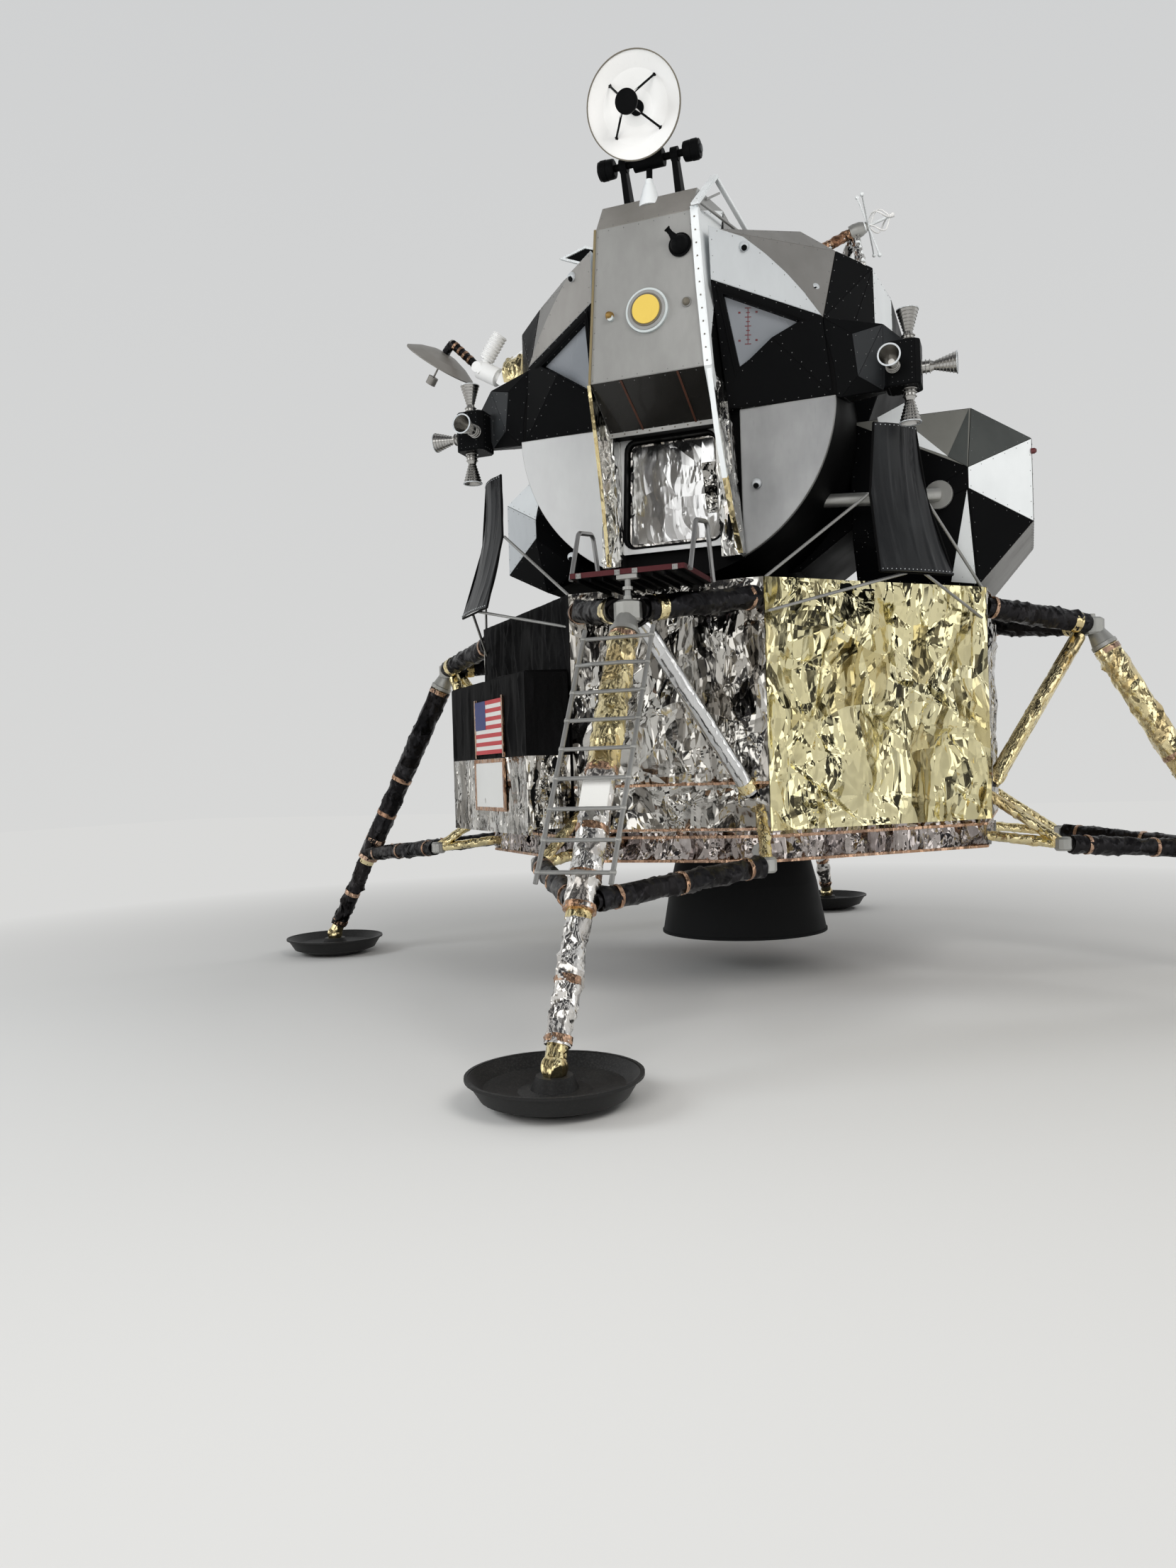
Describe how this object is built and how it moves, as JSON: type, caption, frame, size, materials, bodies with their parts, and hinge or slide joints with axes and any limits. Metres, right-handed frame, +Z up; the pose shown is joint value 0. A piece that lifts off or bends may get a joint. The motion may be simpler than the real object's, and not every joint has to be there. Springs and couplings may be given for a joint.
{
  "type": "lunar lander",
  "caption": "Two-stage crewed lunar lander on braced legs with round pads, a ladder and porch to a square hatch, triangular windows, thruster clusters, radar dish and swinging engine.",
  "frame": {"origin": "on the ground under the middle of the vehicle", "axes": "+Z up, -Y towards the ladder and the forward hatch, +X to the right of a viewer who faces the ladder"},
  "size_m": [9.51, 9.51, 6.5867],
  "materials": {
    "gold_foil": "crumpled metallised film, gold",
    "silver_foil": "crumpled metallised film, silver",
    "copper_foil": "wrapped metallised film, copper brown",
    "black_panel": "matte black riveted panel",
    "black_cloth": "pleated black blanket",
    "bare_panel": "brushed riveted panel",
    "shell": "satin",
    "engine_metal": "matte heat-resisting black",
    "steel": "ribbed and brushed",
    "white_paint": "satin white",
    "window_sheet": "pale coated pane with a sight scale",
    "lamp": "yellow lamp in a grey ring"
  },
  "bodies": {
    "lander": {"descent_core": "shell", "leg_face_blankets": "silver_foil", "quad_face_blankets": "gold_foil", "base_heat_shield": "silver_foil", "descent_deck": "copper_foil", "engine_gimbal_mounts": "shell", "ladder_rails": "shell", "ladder_rungs": "shell", "porch": "copper_foil", "porch_handrails": "shell", "plume_deflectors": "black_panel", "deflector_frames": "shell", "pallet_hinges": "steel", "cabin_barrel": "shell", "front_bulkhead": "shell", "window_panels": "black_panel", "window_panes": "window_sheet", "window_brows": "bare_panel", "nose_fairing": "bare_panel", "cabin_roof": "bare_panel", "hatch_frame": "bare_panel", "face_beams": "silver_foil", "lower_face_panels": "bare_panel", "shoulder_covers": "bare_panel", "side_shoulder_covers": "black_panel", "midsection": "bare_panel", "docking_tunnel": "shell", "aft_equipment_bay": "black_panel", "ascent_engine_can": "silver_foil", "right_tank_cover": "black_panel", "left_tank_cover": "black_panel", "thruster_arms": "black_panel", "thruster_housings": "black_panel", "thruster_nozzles": "steel", "radar_pedestal": "shell", "steerable_base": "shell", "omni_antenna": "silver_foil", "face_fittings": "lamp", "front_primary_strut": "gold_foil", "front_leg_braces": "black_cloth", "front_footpad": "gold_foil", "right_primary_strut": "gold_foil", "right_leg_braces": "black_cloth", "right_footpad": "gold_foil", "rear_primary_strut": "gold_foil", "rear_leg_braces": "black_cloth", "rear_footpad": "gold_foil", "left_primary_strut": "gold_foil", "left_leg_braces": "black_cloth", "left_footpad": "gold_foil"},
    "forward_hatch": {"forward_hatch": "bare_panel"},
    "overhead_hatch": {"overhead_hatch": "shell"},
    "radar_yoke": {"radar_yoke": "shell"},
    "radar_dish": {"radar_dish": "white_paint"},
    "steerable_gimbal": {"steerable_gimbal": "shell"},
    "steerable_dish": {"steerable_dish": "shell"},
    "engine_gimbal_ring": {"engine_gimbal_ring": "steel"},
    "descent_engine": {"descent_engine": "engine_metal"},
    "equipment_pallet": {"equipment_pallet": "black_cloth"}
  },
  "joints": [
    {"name": "forward_hatch_hinge", "type": "hinge", "parent": "lander", "child": "forward_hatch", "pos_m": [-0.387, -1.682, 3.8], "axis": [0, 0, 1], "range_deg": [0, 100]},
    {"name": "overhead_hatch_hinge", "type": "hinge", "parent": "lander", "child": "overhead_hatch", "pos_m": [0, 0.456, 5.274], "axis": [1, 0, 0], "range_deg": [0, 88]},
    {"name": "radar_yoke_tilt", "type": "hinge", "parent": "lander", "child": "radar_yoke", "pos_m": [0, -2.12, 6.062], "axis": [1, 0, 0], "range_deg": [-70, 45]},
    {"name": "radar_dish_turn", "type": "hinge", "parent": "radar_yoke", "child": "radar_dish", "pos_m": [0, -2.2792, 6.32975], "axis": [0, -0.33, 0.944], "range_deg": [-40, 40]},
    {"name": "steerable_turn", "type": "hinge", "parent": "lander", "child": "steerable_gimbal", "pos_m": [-1.7, -1, 5.13], "axis": [-0.8624, 0, 0.5062], "range_deg": [-87, 87]},
    {"name": "steerable_tilt", "type": "hinge", "parent": "steerable_gimbal", "child": "steerable_dish", "pos_m": [-1.93, -1, 5.265], "axis": [0, 1, 0], "range_deg": [-60, 20]},
    {"name": "engine_pitch", "type": "hinge", "parent": "lander", "child": "engine_gimbal_ring", "pos_m": [0, 0, 1.85], "axis": [1, 0, 0], "range_deg": [-6, 6]},
    {"name": "engine_yaw", "type": "hinge", "parent": "engine_gimbal_ring", "child": "descent_engine", "pos_m": [0, 0, 1.85], "axis": [0, 1, 0], "range_deg": [-6, 6]},
    {"name": "pallet_hinge", "type": "hinge", "parent": "lander", "child": "equipment_pallet", "pos_m": [-1.4514, -1.4514, 1.34], "axis": [0.7071, -0.7071, 0], "range_deg": [0, 90]}
  ]
}
